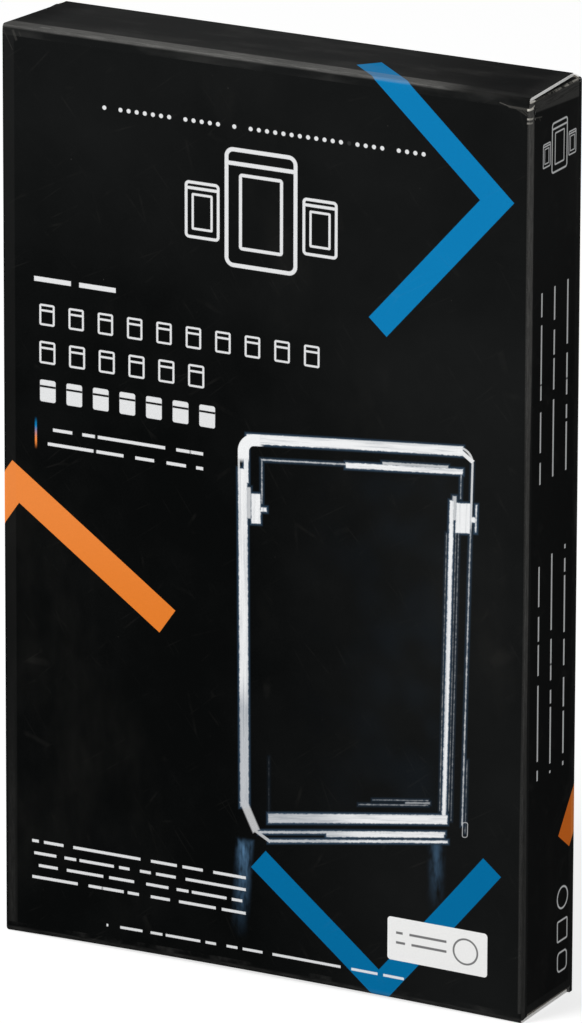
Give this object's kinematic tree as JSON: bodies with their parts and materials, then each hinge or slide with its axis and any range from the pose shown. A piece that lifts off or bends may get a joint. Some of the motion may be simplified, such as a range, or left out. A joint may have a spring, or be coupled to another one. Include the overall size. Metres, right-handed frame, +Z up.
{
  "type": "boxed trading card display case",
  "caption": "Upright black board tuck carton with printed stripes, holding a clear acrylic case with a magnetic lift-off lid for a graded trading card.",
  "frame": {"origin": "middle of the carton's bottom face, on the surface it stands on", "axes": "+X to the carton's right seen from its front, +Y from front to back, +Z up; the front panel faces -Y"},
  "size_m": [0.111, 0.0218, 0.18],
  "materials": {
    "printed_board": "soft matt laminate over black print, white raw edges",
    "clear_acrylic": "polished clear",
    "magnet_nickel": "bright nickel plate"
  },
  "bodies": {
    "carton": {"front_panel": "printed_board", "back_panel": "printed_board", "left_side_panel": "printed_board", "right_side_panel": "printed_board", "glue_flap": "printed_board"},
    "top_lid": {"top_lid_panel": "printed_board"},
    "top_tongue": {"top_tuck_tongue": "printed_board"},
    "top_flap_left": {"top_dust_flap_left": "printed_board"},
    "top_flap_right": {"top_dust_flap_right": "printed_board"},
    "bottom_lid": {"bottom_lid_panel": "printed_board"},
    "bottom_tongue": {"bottom_tuck_tongue": "printed_board"},
    "bottom_flap_left": {"bottom_dust_flap_left": "printed_board"},
    "bottom_flap_right": {"bottom_dust_flap_right": "printed_board"},
    "case_base": {"base_bottom_bar": "clear_acrylic", "base_left_bar": "clear_acrylic", "base_right_bar": "clear_acrylic", "base_front_plate": "clear_acrylic", "base_back_plate": "clear_acrylic", "base_magnet_left": "magnet_nickel", "base_magnet_right": "magnet_nickel"},
    "case_lid": {"lid_top_bar": "clear_acrylic", "lid_left_bar": "clear_acrylic", "lid_right_bar": "clear_acrylic", "lid_front_plate": "clear_acrylic", "lid_back_plate": "clear_acrylic", "lid_magnet_left": "magnet_nickel", "lid_magnet_right": "magnet_nickel"}
  },
  "joints": [
    {"name": "case_lift", "type": "slide", "parent": "carton", "child": "case_base", "axis": [0, 0, 1], "range_m": [0, 0.04]},
    {"name": "case_lid_lift", "type": "slide", "parent": "case_base", "child": "case_lid", "axis": [0, 0, 1], "range_m": [0, 0.008]},
    {"name": "top_lid_fold", "type": "hinge", "parent": "carton", "child": "top_lid", "pos_m": [0, -0.0109, 0.18], "axis": [1, 0, 0], "range_deg": [0, 200]},
    {"name": "top_tongue_fold", "type": "hinge", "parent": "top_lid", "child": "top_tongue", "pos_m": [0, 0.0091, 0.1794], "axis": [-1, 0, 0], "range_deg": [0, 66]},
    {"name": "top_flap_left_fold", "type": "hinge", "parent": "carton", "child": "top_flap_left", "pos_m": [-0.0555, 0, 0.17925], "axis": [0, -1, 0], "range_deg": [0, 132]},
    {"name": "top_flap_right_fold", "type": "hinge", "parent": "carton", "child": "top_flap_right", "pos_m": [0.0555, 0, 0.17925], "axis": [0, 1, 0], "range_deg": [0, 132]},
    {"name": "bottom_lid_fold", "type": "hinge", "parent": "carton", "child": "bottom_lid", "pos_m": [0, -0.0109, 0], "axis": [-1, 0, 0], "range_deg": [0, 135]},
    {"name": "bottom_tongue_fold", "type": "hinge", "parent": "bottom_lid", "child": "bottom_tongue", "pos_m": [0, 0.0091, 0.0006], "axis": [1, 0, 0], "range_deg": [0, 79]},
    {"name": "bottom_flap_left_fold", "type": "hinge", "parent": "carton", "child": "bottom_flap_left", "pos_m": [-0.0555, 0, 0.00075], "axis": [0, 1, 0], "range_deg": [0, 74]},
    {"name": "bottom_flap_right_fold", "type": "hinge", "parent": "carton", "child": "bottom_flap_right", "pos_m": [0.0555, 0, 0.00075], "axis": [0, -1, 0], "range_deg": [0, 74]}
  ],
  "couplings": [
    {"joint": "top_lid_fold", "follows": "case_lift", "rad_per_m": 87.26},
    {"joint": "top_tongue_fold", "follows": "case_lift", "rad_per_m": 28.79},
    {"joint": "top_flap_left_fold", "follows": "case_lift", "rad_per_m": 57.59},
    {"joint": "top_flap_right_fold", "follows": "case_lift", "rad_per_m": 57.59},
    {"joint": "bottom_tongue_fold", "follows": "bottom_lid_fold", "ratio": 0.585},
    {"joint": "bottom_flap_left_fold", "follows": "bottom_lid_fold", "ratio": 0.548},
    {"joint": "bottom_flap_right_fold", "follows": "bottom_lid_fold", "ratio": 0.548}
  ]
}
